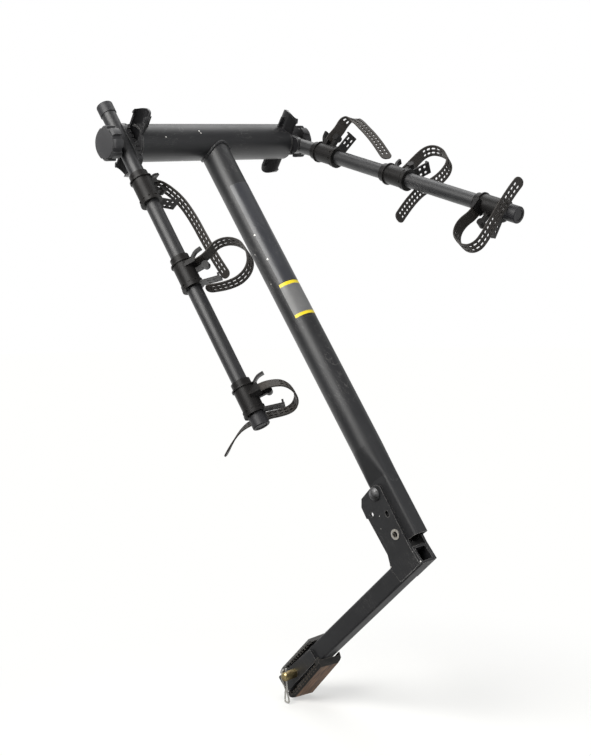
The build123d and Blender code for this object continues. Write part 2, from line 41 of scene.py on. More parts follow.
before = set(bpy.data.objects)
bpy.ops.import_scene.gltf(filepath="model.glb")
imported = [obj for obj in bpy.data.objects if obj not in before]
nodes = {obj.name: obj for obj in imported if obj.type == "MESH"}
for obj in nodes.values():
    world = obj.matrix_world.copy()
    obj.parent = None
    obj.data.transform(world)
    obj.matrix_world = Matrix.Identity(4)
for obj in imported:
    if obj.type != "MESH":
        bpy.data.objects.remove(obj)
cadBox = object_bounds()
mm = 0.001
print("frame loaded:", len(nodes), "nodes")

# Camera: from the perspective fit of the photograph
view = {
    "place": (-1.51477, -1.76959, -0.47018),
    "right": (0.7242, -0.4813, -0.4939),
    "down": (-0.1294, 0.6087, -0.7828),
    "forward": (0.6773, 0.6308, 0.3785),
    "lens": 80.38,
}
skyward = Vector((0.06, -0.66, 0.75)).normalized()   # against gravity, as the rack lies there
nearward = Vector(view["right"]).cross(skyward).normalized()   # level, towards the camera


def makeCamera():
    data = bpy.data.cameras.new("camera")
    data.sensor_fit = "HORIZONTAL"
    data.sensor_width = 36
    data.lens = view["lens"]
    data.clip_start = 0.01
    camera = bpy.data.objects.new("camera", data)
    bpy.context.scene.collection.objects.link(camera)
    axes = Matrix((view["right"], [-c for c in view["down"]], [-c for c in view["forward"]]))
    camera.matrix_world = Matrix.Translation(view["place"]) @ axes.transposed().to_4x4()
    bpy.context.scene.camera = camera


# Small helpers for node trees
def addNode(tree, kind, links=None, **settings):
    # One shader node. links gives each input by name or number: a socket to link, or a value.
    node = tree.nodes.new("ShaderNode" + kind)
    for key, value in settings.items():
        setattr(node, key, value)
    for key, value in (links or {}).items():
        if isinstance(value, bpy.types.NodeSocket):
            tree.links.new(value, node.inputs[key])
        else:
            node.inputs[key].default_value = value
    return node


def mixColour(tree, factor, first, second):
    links = {0: factor, 6: first if isinstance(first, bpy.types.NodeSocket) else (*first, 1),
             7: second if isinstance(second, bpy.types.NodeSocket) else (*second, 1)}
    return addNode(tree, "Mix", links, data_type="RGBA").outputs[2]


def calc(tree, operation, first, second=0.5, third=0.5):
    return addNode(tree, "Math", {0: first, 1: second, 2: third}, operation=operation).outputs[0]


def measure(tree, operation, first, second):
    # One number from two vectors: their distance or their dot product.
    return addNode(tree, "VectorMath", {0: first, 1: second}, operation=operation).outputs["Value"]


def remap(tree, value, source, target=(0.0, 1.0), **settings):
    # Carries one range of values onto another, and holds it within.
    links = {0: value, 1: source[0], 2: source[1], 3: target[0], 4: target[1]}
    return addNode(tree, "MapRange", links, **settings).outputs[0]


def noise(tree, place, scale, detail, rough=0.5):
    links = {"Vector": place, "Scale": scale, "Detail": detail, "Roughness": rough}
    return addNode(tree, "TexNoise", links).outputs[0]


def objectPlace(tree):
    return addNode(tree, "TexCoord").outputs["Object"]


def newGroup(name, inputs, output):
    # Empty shader group with numbers in and one out; returns it, its given sockets and its result's.
    group = bpy.data.node_groups.new(name, "ShaderNodeTree")
    for label in inputs:
        group.interface.new_socket(name=label, in_out="INPUT", socket_type="NodeSocketFloat")
    group.interface.new_socket(name=output, in_out="OUTPUT", socket_type="NodeSocketFloat")
    given, result = group.nodes.new("NodeGroupInput"), group.nodes.new("NodeGroupOutput")
    return group, given.outputs, result.inputs[output]


def useGroup(tree, group, **values):
    node = tree.nodes.new("ShaderNodeGroup")
    node.node_tree = group
    for key, value in values.items():
        node.inputs[key].default_value = value
    return node.outputs


# Shared effects
def buildGrain():
    # Fine orange-peel or moulded texture: two sizes of noise added.
    group, given, result = newGroup("surfaceGrain", ["Size", "Coarse"], "Height")
    place = objectPlace(group)
    fine = noise(group, place, given["Size"], 2.0)
    wider = calc(group, "MULTIPLY", given["Size"], 0.22)
    coarse = noise(group, place, wider, 1.0)
    part = calc(group, "MULTIPLY", coarse, given["Coarse"])
    group.links.new(calc(group, "ADD", fine, part), result)
    return group


def buildEdgeWear():
    # Mask of rubbed edges: where the rounded normal leaves the true one, broken up by noise.
    # Share = 7 * bend * (noise + half the bend - 1.02 + reach), held between 0 and 1.
    group, given, result = newGroup("edgeWear", ["Width", "Reach", "Patch"], "Mask")
    flat = addNode(group, "NewGeometry").outputs["Normal"]
    rounded = addNode(group, "Bevel", {"Radius": given["Width"]}, samples=6).outputs[0]
    along = measure(group, "DOT_PRODUCT", flat, rounded)
    bend = remap(group, along, (0.965, 0.80))
    place = objectPlace(group)
    patch = noise(group, place, given["Patch"], 5.0)
    start = calc(group, "SUBTRACT", 1.02, given["Reach"])
    lifted = calc(group, "ADD", patch, calc(group, "MULTIPLY", bend, 0.5))
    broken = calc(group, "SUBTRACT", lifted, start)
    sharp = calc(group, "MULTIPLY", calc(group, "MULTIPLY", broken, 7.0), bend)
    group.links.new(addNode(group, "Clamp", {0: sharp}).outputs[0], result)
    return group


def buildChips():
    # Mask of small knocks: the hearts of a few Voronoi cells, at uneven places.
    group, given, result = newGroup("paintChips", ["Size", "Share"], "Mask")
    place = objectPlace(group)
    wobble = addNode(group, "TexNoise", {"Vector": place, "Scale": 300.0, "Detail": 2.0}).outputs["Color"]
    bent = addNode(group, "VectorMath", {0: wobble, 1: (0.006, 0.006, 0.006), 2: place},
                   operation="MULTIPLY_ADD").outputs[0]
    cell = addNode(group, "TexVoronoi", {"Vector": bent, "Scale": given["Size"], "Randomness": 1.0})
    parts = addNode(group, "SeparateColor", {0: cell.outputs["Color"]}).outputs
    chosen = calc(group, "LESS_THAN", parts[0], given["Share"])
    size = calc(group, "MULTIPLY", parts[1], 0.16)
    heart = calc(group, "LESS_THAN", cell.outputs["Distance"], size)
    group.links.new(calc(group, "MULTIPLY", chosen, heart), result)
    return group


def buildDust():
    # Mask of settled dust and handling marks: soft noise, more on faces that look up.
    group, given, result = newGroup("settledDust", ["Patch", "Amount"], "Mask")
    place = objectPlace(group)
    cloud = noise(group, place, given["Patch"], 6.0, rough=0.62)
    speck = noise(group, place, 420.0, 2.0)
    face = addNode(group, "NewGeometry").outputs["Normal"]
    up = measure(group, "DOT_PRODUCT", face, tuple(skyward))
    lifted = remap(group, up, (-0.3, 1.0), (0.15, 1.0))
    soft = remap(group, cloud, (0.35, 0.75))
    grit = remap(group, speck, (0.35, 0.7), (0.5, 1.0))
    total = calc(group, "MULTIPLY", calc(group, "MULTIPLY", soft, lifted), grit)
    group.links.new(calc(group, "MULTIPLY", total, given["Amount"]), result)
    return group


def buildScuffs():
    # Mask of fine scratches: stretched noise cut to thin lines.
    group, given, result = newGroup("fineScuffs", ["Size", "Amount"], "Mask")
    place = objectPlace(group)
    turned = addNode(group, "Mapping", {"Vector": place, "Rotation": (0.5, 0.9, 0.3),
                                        "Scale": (1.0, 9.0, 1.0)}).outputs[0]
    line = noise(group, turned, given["Size"], 4.0)
    away = calc(group, "ABSOLUTE", calc(group, "SUBTRACT", line, 0.5))
    thin = remap(group, away, (0.0, 0.012), (1.0, 0.0))
    where = noise(group, place, 14.0, 2.0)
    area = remap(group, where, (0.5, 0.68))
    total = calc(group, "MULTIPLY", calc(group, "MULTIPLY", thin, area), given["Amount"])
    group.links.new(total, result)
    return group


# The rack's skeleton, as the CAD has it, in millimetres
rack = {"lean": 7.0, "pivotBack": 389.1, "pivotHeight": 119.45, "mastBehindPivot": 12.9, "mastToCross": 693.5,
        "armX": 188.0, "leftAngle": 0.0, "rightAngle": 39.56, "mastRadius": 25.4, "crossRadius": 31.75,
        "stingerSize": 31.75, "plateThick": 4.8}
lean = math.radians(rack["lean"])
rightward = np.array([1.0, 0.0, 0.0])
mastUp = np.array([0, -math.sin(lean), math.cos(lean)])
mastFront = np.array([0, math.cos(lean), math.sin(lean)])
pivot = np.array([0, -rack["pivotBack"], rack["pivotHeight"]])
crossCentre = pivot - mastFront * rack["mastBehindPivot"] + mastUp * rack["mastToCross"]


def armDirection(angle):
    a = math.radians(angle)
    return -mastUp * math.cos(a) - mastFront * math.sin(a)


# White knocks in the paint, seen in the photograph, in millimetres and degrees. On the mast: degrees round
# it, up it, size. On the cross tube: X, degrees round it, size. On the left plate and stinger: Y, Z, size.
knocks = {
    "mast": [(-147, 486, 1.5), (-145, 436, 1.6), (174, 457, 0.9), (179, 396, 0.8)],
    "cross": [(-120, -160, 1.2), (-42, -172, 1.1), (-44, -180, 1.5)],
    "plate": [(-392, 8, 1.1), (-334, 14.5, 1.0), (-360, 71, 0.7), (-372, 88, 0.7)],
    "stinger": [(-390, -11, 1.3)],
}


def knockPlaces():
    # Centres and sizes in metres: axis + r (cos a * first + sin a * second) on a tube, or a flat side.
    foot = pivot - mastFront * rack["mastBehindPivot"]
    places = []
    for turn, up, size in knocks["mast"]:
        a = math.radians(turn)
        out = rightward * math.cos(a) + mastFront * math.sin(a)
        places.append((foot + mastUp * up + out * rack["mastRadius"], size))
    for across, turn, size in knocks["cross"]:
        a = math.radians(turn)
        out = mastFront * math.cos(a) + mastUp * math.sin(a)
        places.append((crossCentre + rightward * across + out * rack["crossRadius"], size))
    side = rack["stingerSize"] / 2
    places += [(np.array([-side - rack["plateThick"], y, z]), size) for y, z, size in knocks["plate"]]
    places += [(np.array([-side, y, z]), size) for y, z, size in knocks["stinger"]]
    return [(tuple(centre * mm), size * mm) for centre, size in places]


def buildKnocks():
    # Mask of the listed knocks: places nearer to a centre than noise * twice its radius, so ragged ones.
    group, _, result = newGroup("seenKnocks", [], "Mask")
    place = objectPlace(group)
    ragged = noise(group, place, 900.0, 2.0)
    total = None
    for centre, radius in knockPlaces():
        away = measure(group, "DISTANCE", place, centre)
        inside = calc(group, "LESS_THAN", away, calc(group, "MULTIPLY", ragged, 2 * radius))
        total = inside if total is None else calc(group, "MAXIMUM", total, inside)
    group.links.new(total, result)
    return group


grain = buildGrain()
edgeWear = buildEdgeWear()
chips = buildChips()
dust = buildDust()
scuffs = buildScuffs()
seenKnocks = buildKnocks()


def newMaterial(name):
    material = bpy.data.materials.new(name)
    material.use_nodes = True
    tree = material.node_tree
    return material, tree, tree.nodes["Principled BSDF"]


# Finishes. Colours are linear.
finishes = {
    "powderCoat": {"base": (0.0110, 0.0112, 0.0125), "dusty": (0.055, 0.055, 0.055), "rough": (0.42, 0.52),
                   "size": 1100, "bump": 0.02, "dust": 0.18, "worn": (0.28, 0.27, 0.26), "reach": 0.33,
                   "chip": 0.012},
    "hubPlastic": {"base": (0.008, 0.008, 0.009), "dusty": (0.07, 0.068, 0.066), "rough": (0.26, 0.44),
                   "size": 520, "bump": 0.28, "dust": 0.30, "worn": (0.14, 0.14, 0.14), "reach": 0.34,
                   "chip": 0.015},
    "cradlePlastic": {"base": (0.008, 0.0076, 0.0076), "dusty": (0.065, 0.058, 0.052), "rough": (0.36, 0.54),
                      "size": 640, "bump": 0.10, "dust": 0.13, "worn": (0.035, 0.032, 0.030), "reach": 0.27,
                      "sheen": 0.17},
    "capPlastic": {"base": (0.009, 0.009, 0.011), "dusty": (0.05, 0.05, 0.055), "rough": (0.46, 0.62),
                   "size": 700, "bump": 0.15, "dust": 0.25, "worn": (0.05, 0.05, 0.05), "reach": 0.3},
    "knobPlastic": {"base": (0.022, 0.022, 0.024), "dusty": (0.10, 0.10, 0.10), "rough": (0.40, 0.58),
                    "size": 560, "bump": 0.20, "dust": 0.45, "worn": (0.09, 0.09, 0.09), "reach": 0.34},
    "shellPlastic": {"base": (0.013, 0.0125, 0.012), "dusty": (0.11, 0.098, 0.085), "rough": (0.42, 0.62),
                     "size": 420, "bump": 0.25, "dust": 0.5, "worn": (0.16, 0.15, 0.13), "reach": 0.42},
    # The lower shell: its flat underside gets a warm painted reflection of the floor, in streaks along Y.
    "shellPaintedReflection": {"base": (0.011, 0.0105, 0.010), "dusty": (0.09, 0.08, 0.07), "rough": (0.42, 0.62),
                  "size": 420, "bump": 0.25, "dust": 0.4, "worn": (0.14, 0.12, 0.10), "reach": 0.42,
                  "paintedReflection": (0.17, 0.092, 0.050), "sheen": 0.3},
    "mastFilm": {"base": (0.030, 0.031, 0.036), "dusty": (0.075, 0.076, 0.080), "rough": (0.30, 0.42),
                 "size": 700, "bump": 0.03, "dust": 0.25, "worn": (0.12, 0.12, 0.12), "reach": 0.4,
                 "chip": 0.03},
    "labelFilm": {"base": (0.14, 0.14, 0.14), "dusty": (0.06, 0.06, 0.06), "rough": (0.36, 0.5),
                  "size": 700, "bump": 0.04, "dust": 0.7, "worn": (0.30, 0.30, 0.29), "reach": 0.45,
                  "chip": 0.03},
    "yellowFilm": {"base": (0.80, 0.62, 0.015), "dusty": (0.42, 0.34, 0.06), "rough": (0.36, 0.5),
                   "size": 700, "bump": 0.03, "dust": 0.5, "worn": (0.10, 0.09, 0.05), "reach": 0.4,
                   "chip": 0.03},
    "strapRubber": {"base": (0.020, 0.0175, 0.0155), "dusty": (0.10, 0.085, 0.07), "rough": (0.48, 0.66),
                    "size": 900, "bump": 0.16, "dust": 0.5, "worn": (0.09, 0.08, 0.07), "reach": 0.3,
                    "sheen": 0.3},
}
knockTone = (0.62, 0.61, 0.58)   # primer showing through


def paintedUnderReflection(tree):
    # Mask of painted reflection on the flat underside: where it faces down, streaked along Y, to take a warm
    # tone that stands for light reflected from the floor.
    face = addNode(tree, "NewGeometry").outputs["Normal"]
    down = measure(tree, "DOT_PRODUCT", face, (0, 0.06, -1))
    flat = remap(tree, down, (0.93, 0.985))
    place = objectPlace(tree)
    drawn = addNode(tree, "Mapping", {"Vector": place, "Scale": (1.0, 0.16, 1.0)}).outputs[0]
    streak = noise(tree, drawn, 260.0, 4.0)
    part = remap(tree, streak, (0.32, 0.62), (0.15, 1.0))
    return calc(tree, "MULTIPLY", flat, part)


def makeCoated(name):
    # Dark paint, plastic or rubber: base tone, dust, rubbed edges, chips, grain and, where listed, a warm
    # painted reflection of the floor on the flat underside.
    look = finishes[name]
    material, tree, shader = newMaterial(name)
    height = useGroup(tree, grain, Size=look["size"], Coarse=0.4)["Height"]
    veil = useGroup(tree, dust, Patch=11.0, Amount=look["dust"])["Mask"]
    worn = useGroup(tree, edgeWear, Width=0.0009, Reach=look["reach"], Patch=70.0)["Mask"]
    lines = useGroup(tree, scuffs, Size=38.0, Amount=0.35)["Mask"]
    colour = mixColour(tree, veil, look["base"], look["dusty"])
    colour = mixColour(tree, worn, colour, look["worn"])
    colour = mixColour(tree, lines, colour, look["worn"])
    if "chip" in look:
        knock = useGroup(tree, chips, Size=75.0, Share=look["chip"])["Mask"]
        knock = calc(tree, "MAXIMUM", knock, useGroup(tree, seenKnocks)["Mask"])
        colour = mixColour(tree, knock, colour, knockTone)
    # Painted reflection: the flat underside takes a warm tone that stands for light from the floor.
    if "paintedReflection" in look:
        colour = mixColour(tree, paintedUnderReflection(tree), colour, look["paintedReflection"])
    tree.links.new(colour, shader.inputs["Base Color"])
    shader.inputs["Specular IOR Level"].default_value = look.get("sheen", 0.5)
    blotch = noise(tree, objectPlace(tree), 16.0, 4.0)
    smooth = remap(tree, blotch, (0.3, 0.7), look["rough"])
    tree.links.new(calc(tree, "ADD", smooth, calc(tree, "MULTIPLY", veil, 0.25)), shader.inputs["Roughness"])
    bump = addNode(tree, "Bump", {"Strength": look["bump"], "Distance": 0.0002, "Height": height})
    tree.links.new(bump.outputs[0], shader.inputs["Normal"])
    return material


metals = {
    "plainZinc": {"base": (0.19, 0.19, 0.195), "dull": (0.06, 0.058, 0.056), "rough": (0.46, 0.64),
                  "patch": 130.0},
    "brightZinc": {"base": (0.92, 0.90, 0.85), "dull": (0.66, 0.62, 0.54), "rough": (0.34, 0.52),
                   "patch": 160.0},
    "yellowZinc": {"base": (0.66, 0.54, 0.26), "dull": (0.22, 0.16, 0.09), "rough": (0.26, 0.46),
                   "patch": 130.0},
    "springWire": {"base": (0.90, 0.89, 0.84), "dull": (0.60, 0.58, 0.54), "rough": (0.18, 0.36),
                   "patch": 200.0},
}


def makeMetal(name):
    # Plated steel: spangled tone, dull patches and light scratches.
    look = metals[name]
    material, tree, shader = newMaterial(name)
    place = objectPlace(tree)
    spangle = addNode(tree, "TexVoronoi", {"Vector": place, "Scale": 700.0}).outputs["Color"]
    grey = addNode(tree, "SeparateColor", {0: spangle}).outputs[0]
    cloud = noise(tree, place, look["patch"], 6.0)
    both = calc(tree, "MULTIPLY_ADD", grey, 0.25, cloud)
    tarnish = remap(tree, both, (0.45, 0.85))
    colour = mixColour(tree, tarnish, look["base"], look["dull"])
    lines = useGroup(tree, scuffs, Size=60.0, Amount=0.6)["Mask"]
    tree.links.new(mixColour(tree, lines, colour, look["base"]), shader.inputs["Base Color"])
    shader.inputs["Metallic"].default_value = 1.0
    tree.links.new(remap(tree, both, (0.3, 0.9), look["rough"]), shader.inputs["Roughness"])
    bump = addNode(tree, "Bump", {"Strength": 0.12, "Distance": 0.0001, "Height": cloud})
    tree.links.new(bump.outputs[0], shader.inputs["Normal"])
    return material


materials = {name: makeCoated(name) for name in finishes}
materials.update({name: makeMetal(name) for name in metals})
print("materials:", len(materials))

# The finish of each CAD piece, by the start of its name
finishOf = {
    "stinger_tube": "powderCoat", "cheek_plate": "powderCoat", "pivot_plate": "powderCoat",
    "mast_tube": "powderCoat", "cross_tube": "powderCoat", "arm_tube": "powderCoat",
    "hub_bracket": "hubPlastic", "arm_saddle": "hubPlastic", "arm_cap": "capPlastic",
    "clamp_knob": "knobPlastic", "cradle_": "cradlePlastic", "strap_": "strapRubber",
    "adapter_shell_lower": "shellPaintedReflection", "adapter_shell_upper": "shellPlastic",
    "pivot_bolt": "plainZinc", "pivot_nut": "plainZinc", "arm_bolt": "plainZinc",
    "lock_bush": "brightZinc", "hitch_pin": "yellowZinc", "hairpin_clip": "springWire",
}


def dressNodes():
    for name, node in nodes.items():
        finish = next(f for start, f in finishOf.items() if name.startswith(start))
        for slot in node.material_slots:
            slot.material = materials[finish]


# Meshes from arrays
def meshPiece(name, points, faces, finish, body, smooth=True):
    # New object from an array of points and a list of face arrays; rides on a body.
    mesh = bpy.data.meshes.new(name)
    mesh.from_pydata(points.tolist(), [], [f for group in faces for f in np.asarray(group).tolist()])
    mesh.polygons.foreach_set("use_smooth", np.full(len(mesh.polygons), smooth))
    mesh.materials.append(materials[finish])
    mesh.update()
    piece = bpy.data.objects.new(name, mesh)
    bpy.context.scene.collection.objects.link(piece)
    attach(piece, body)
    return piece


def ringFaces(first, second):
    # Quads between two closed rings of point numbers of equal length.
    return np.stack([first, np.roll(first, -1), np.roll(second, -1), second], axis=-1)


def loopFaces(rings, points):
    # Quads over a grid of rings by points, closed both ways.
    grid = np.arange(rings * points).reshape(rings, points)
    ahead = np.roll(grid, -1, axis=0)
    quads = np.stack([grid, np.roll(grid, -1, axis=1), np.roll(ahead, -1, axis=1), ahead], axis=-1)
    return quads.reshape(-1, 4)


def sheetFaces(rows, columns):
    # Quads over an open grid of rows by columns.
    grid = np.arange(rows * columns).reshape(rows, columns)
    return np.stack([grid[:-1, :-1], grid[1:, :-1], grid[1:, 1:], grid[:-1, 1:]], axis=-1).reshape(-1, 4)


# Straps: perforated rubber bands. station is the place along the arm, turn the side of the arm it stands
# on, yaw and shift the skew of its plane, and solid the length ahead of the holes. Routes are (along, out)
# points in that plane, as in the CAD; twist is (share of the length, degrees) of turn about its own run.
straps = {
    "left_rear": {
        "side": -1, "station": 95.5, "turn": 0, "yaw": 0, "shift": 0, "solid": 8,
        "twist": [(0, 0), (1, 0)],
        "route": [(-11, 23), (-11, 31), (2, 46), (20, 58), (40, 65), (69, 69), (98, 70), (134, 72), (158, 75),
                  (181, 79)]},
    "left_middle": {
        "side": -1, "station": 262.5, "turn": 50, "yaw": -15, "shift": -7, "solid": 36,
        "twist": [(0, 0), (0.4, -8), (0.55, 10), (1, 5)],
        "route": [(-8, 23), (-7, 31), (-11, 46), (-21, 64), (-15, 86), (5, 102), (36, 105), (56, 94),
                  (65, 75), (63, 55), (56, 35), (48, 19)]},
    "left_front": {
        "side": -1, "station": 496.5, "turn": 43, "yaw": 50, "shift": -4, "solid": 29,
        "twist": [(0, 0), (0.6, 0), (0.78, 24), (1, 34)],
        "route": [(-9, 23), (-9, 32), (-5, 46), (2, 59), (17, 68), (36, 70), (49, 62), (53, 50), (50, 34),
                  (44, 15), (43, -14), (46, -29), (53, -42), (65, -58), (78, -72)]},
    "right_rear": {
        "side": 1, "station": 107.0, "turn": 60, "yaw": 0, "shift": 0, "solid": 46,
        "twist": [(0, -30), (0.22, -30), (0.36, 45), (1, 45)],
        "route": [(-9, 23), (-9, 32), (-3, 48), (-3, 66), (7, 77), (27, 75), (47, 67), (68, 59), (92, 48),
                  (118, 34), (134, 25)]},
    "right_middle": {
        "side": 1, "station": 280.0, "turn": 30, "yaw": 15, "shift": 15, "solid": 60,
        "twist": [(0, -35), (0.25, -20), (0.4, 25), (0.5, 35), (1, 38)],
        "route": [(-11, 23), (-11, 31), (-17, 66), (-19, 90), (-12, 105), (5, 110), (25, 104), (38, 88),
                  (44, 66), (45, 43), (40, 13), (43, -12), (49, -39), (58, -69)]},
    "right_front": {
        "side": 1, "station": 490.0, "turn": 230, "yaw": 15, "shift": 15, "solid": 46,
        "twist": [(0, 0), (1, 0)],
        "route": [(-14, 23), (-14, 31), (-24, 46), (-24, 62), (-13, 79), (11, 92), (33, 94), (46, 85),
                  (47, 67), (43, 43), (40, 19), (37, -7), (36, -32), (38, -50)]},
}
# The band's section and its tile of two holes. slope, lip and frame are the raised frame round a hole,
# round its long edges' rounding, tip the length of its round end, beforeTip the solid bit ahead of it and
# tipEnd the share of a quarter turn that the end's rounding takes. rootStep and tipSteps set the mesh.
band = {"width": 21.0, "thick": 2.5, "pitch": 8.8, "holeHalfWidth": 2.0, "holeHalfLength": 3.1,
        "holeOut": 3.95, "frame": 0.7, "lip": 0.25, "slope": 0.35, "round": 0.6, "tip": 9.0, "beforeTip": 1.0,
        "tipEnd": 0.92, "rootStep": 3, "tipSteps": 7}
ringPoints = 16   # round a hole; a quarter of them along each side of a tile


def strapFrame(entry):
    # Origin and axes of the strap's plane: along, out and across, in millimetres.
    angle = rack["leftAngle"] if entry["side"] < 0 else rack["rightAngle"]
    along = armDirection(angle)
    turn, yaw = math.radians(entry["turn"]), math.radians(entry["yaw"])
    out = rightward * math.cos(turn) + np.cross(along, rightward) * math.sin(turn)
    side = np.cross(along, out)
    hub = crossCentre + rightward * entry["side"] * rack["armX"]
    origin = hub + along * entry["station"] - side * entry["shift"]
    first = along * math.cos(yaw) - side * math.sin(yaw)
    second = side * math.cos(yaw) + along * math.sin(yaw)
    return origin, first, out, second


def smoothPath(route, step=0.5, perBend=40):
    # Quadratic B-spline: each inner point bends a parabola between the middles of its two runs.
    # Returned at even steps, with unit tangents.
    p = np.array(route, float)
    middle = (p[:-1] + p[1:]) / 2
    start = np.vstack([p[:1], middle[1:-1]])
    end = np.vstack([middle[1:-1], p[-1:]])
    t = np.linspace(0, 1, perBend)[None, :, None]
    curve = (1 - t) ** 2 * start[:, None] + 2 * t * (1 - t) * p[1:-1, None] + t ** 2 * end[:, None]
    curve = curve.reshape(-1, 2)
    run = np.concatenate([[0], np.cumsum(np.hypot(*np.diff(curve, axis=0).T))])
    keep = np.concatenate([[True], np.diff(run) > 1e-9])
    even = np.arange(0, run[-1], step)
    line = np.stack([np.interp(even, run[keep], curve[keep, i]) for i in (0, 1)], axis=1)
    tangent = np.gradient(line, axis=0)
    return even, line, tangent / np.linalg.norm(tangent, axis=1, keepdims=True)


def roundedLoop(halfLength, halfWidth):
    # Ring of points on |x/a|^4 + |y/b|^4 = 1, starting at the low corner.
    a = np.arange(ringPoints) * 2 * math.pi / ringPoints - 3 * math.pi / 4
    c, s = np.cos(a), np.sin(a)
    x = halfLength * np.sign(c) * np.abs(c) ** 0.5
    y = halfWidth * np.sign(s) * np.abs(s) ** 0.5
    return np.stack([x, y], axis=1)


def holedTile():
    # One pitch of half the band, from its middle to its edge, with one framed hole. Flat: (s, w, h).
    half, edge = band["thick"] / 2, band["width"] / 2 - band["round"]
    pitch = band["pitch"]
    q = np.linspace(0, 1, ringPoints // 4 + 1)[:-1]
    square = np.concatenate([np.stack([q - 0.5, 0 * q], 1), np.stack([0 * q + 0.5, q], 1),
                             np.stack([0.5 - q, 0 * q + 1], 1), np.stack([0 * q - 0.5, 1 - q], 1)])
    square = square * [pitch, edge]
    loops = []
    for grow, height in ((0, half), (0, half + band["lip"]), (band["frame"], half + band["lip"]),
                         (band["frame"] + band["slope"], half)):
        ring = roundedLoop(band["holeHalfLength"] + grow, band["holeHalfWidth"] + grow) + [0, band["holeOut"]]
        loops.append(np.column_stack([ring, np.full(ringPoints, height)]))
    low = loops[0] * [1, 1, -1]
    rings = [np.column_stack([square, np.full(ringPoints, half)])] + loops[:0:-1]
    rings += [low, np.column_stack([square, np.full(ringPoints, -half)])]
    points = np.concatenate(rings)
    number = np.arange(len(points)).reshape(-1, ringPoints)
    faces = np.concatenate([ringFaces(number[i], number[i + 1]) for i in range(len(number) - 1)])
    return points, faces


def edgeStrip(stations, taper):
    # One rounded long edge between given stations, for a half width that follows taper.
    half, edge, full = band["thick"] / 2, band["width"] / 2 - band["round"], band["width"] / 2
    turn = np.array([(edge, half), (full, half - band["round"]), (full, band["round"] - half), (edge, -half)])
    s = np.repeat(stations, 4)
    w = (turn[None, :, 0] * taper[:, None]).ravel()
    h = np.tile(turn[:, 1], len(stations))
    return np.stack([s, w, h], 1), sheetFaces(len(stations), 4)


def plainSheet(stations, taper):
    # Flat top and bottom between stations, with the same points across as a holed tile has.
    half, edge = band["thick"] / 2, band["width"] / 2 - band["round"]
    across = np.linspace(-1, 1, ringPoints // 2 + 1)
    s, w = np.meshgrid(stations, across, indexing="ij")
    w = w * edge * taper[:, None]
    top = np.stack([s, w, np.full_like(s, half)], -1).reshape(-1, 3)
    quads = sheetFaces(*s.shape)
    points = np.concatenate([top, top * [1, 1, -1]])
    return points, np.concatenate([quads, quads[:, ::-1] + s.size])


def weld(points, faces, fine=1e4):
    # Merges points that share a place to one part in fine of a millimetre; drops none of the faces.
    kept, index = np.unique(np.round(points * fine).astype(np.int64), axis=0, return_inverse=True)
    return kept / fine, index.reshape(-1)[faces]


def flatStrap(length, solid):
    # The whole band laid flat: solid root, holed run, solid tip with a round end.
    tiles = int((length - solid - band["tip"] + band["pitch"] / 2) / band["pitch"])
    last = length - band["tip"] - band["beforeTip"]
    first = last - tiles * band["pitch"]
    parts = []
    points, faces = holedTile()
    centres = first + (np.arange(tiles) + 0.5) * band["pitch"]
    for side in (1, -1):
        moved = points[None] * [1, side, 1] + np.stack([centres, 0 * centres, 0 * centres], 1)[:, None]
        every = faces[None, :, ::side] + (np.arange(tiles) * len(points))[:, None, None]
        parts.append((moved.reshape(-1, 3), every.reshape(-1, 4)))
    root = np.linspace(0, first, max(3, int(first / band["rootStep"])))
    turn = np.linspace(0, 1, band["tipSteps"])
    tip = np.concatenate([[last], np.linspace(last, length - band["tip"], 3)[1:-1],
                          length - band["tip"] * (1 - np.sin(turn * math.pi / 2))])
    shape = np.concatenate([[1, 1], np.cos(turn * math.pi / 2 * band["tipEnd"])])
    holed = np.linspace(first, last, tiles * ringPoints // 4 + 1)
    parts.append(plainSheet(root, np.ones(len(root))))
    parts.append(plainSheet(tip, shape))
    stations = np.concatenate([root, holed[1:], tip[1:]])
    taper = np.concatenate([np.ones(len(root) + len(holed) - 1), shape[1:]])
    points, faces = edgeStrip(stations, taper)
    parts.append((points, faces))
    parts.append((points * [1, -1, 1], faces[:, ::-1]))
    offsets = np.cumsum([0] + [len(p) for p, f in parts[:-1]])
    allPoints = np.concatenate([p for p, f in parts])
    allFaces = np.concatenate([f + o for (p, f), o in zip(parts, offsets)])
    return weld(allPoints, allFaces)


def closeEnds(points, faces, length):
    # Caps both ends with one flat face each, round the rim in order of angle.
    caps = []
    for place, flip in ((0.0, 1), (length, -1)):
        rim = np.nonzero(np.abs(points[:, 0] - place) < 1e-3)[0]
        angle = np.arctan2(points[rim, 2] / band["thick"], points[rim, 1] / band["width"])
        caps.append([rim[np.argsort(angle)][::flip].tolist()])
    return [faces.tolist()] + caps


def makeStrap(name, entry):
    # Band bent along its route: place = path(s) + normal * h + across * w, where normal and across
    # are turned about the path by the twist at s.
    origin, alongAxis, outAxis, side = strapFrame(entry)
    even, line, tangent = smoothPath(entry["route"])
    length = float(even[-1])
    points, faces = flatStrap(length, entry["solid"])
    faces = closeEnds(points, faces, length)
    s, w, h = points.T
    centre = np.stack([np.interp(s, even, line[:, i]) for i in (0, 1)], 1)
    t = np.stack([np.interp(s, even, tangent[:, i]) for i in (0, 1)], 1)
    t = t / np.linalg.norm(t, axis=1, keepdims=True)
    share, degrees = np.array(entry["twist"], float).T
    twist = np.radians(np.interp(s / length, share, degrees))[:, None]
    plain = -t[:, 1:] * alongAxis + t[:, :1] * outAxis
    normal = plain * np.cos(twist) + side * np.sin(twist)
    across = side * np.cos(twist) - plain * np.sin(twist)
    place = origin + centre[:, :1] * alongAxis + centre[:, 1:] * outAxis
    place = place + normal * h[:, None] + across * w[:, None]
    piece = meshPiece("band_" + name, place * mm, faces, "strapRubber", name + "_cradle", smooth=False)
    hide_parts("strap_" + name)


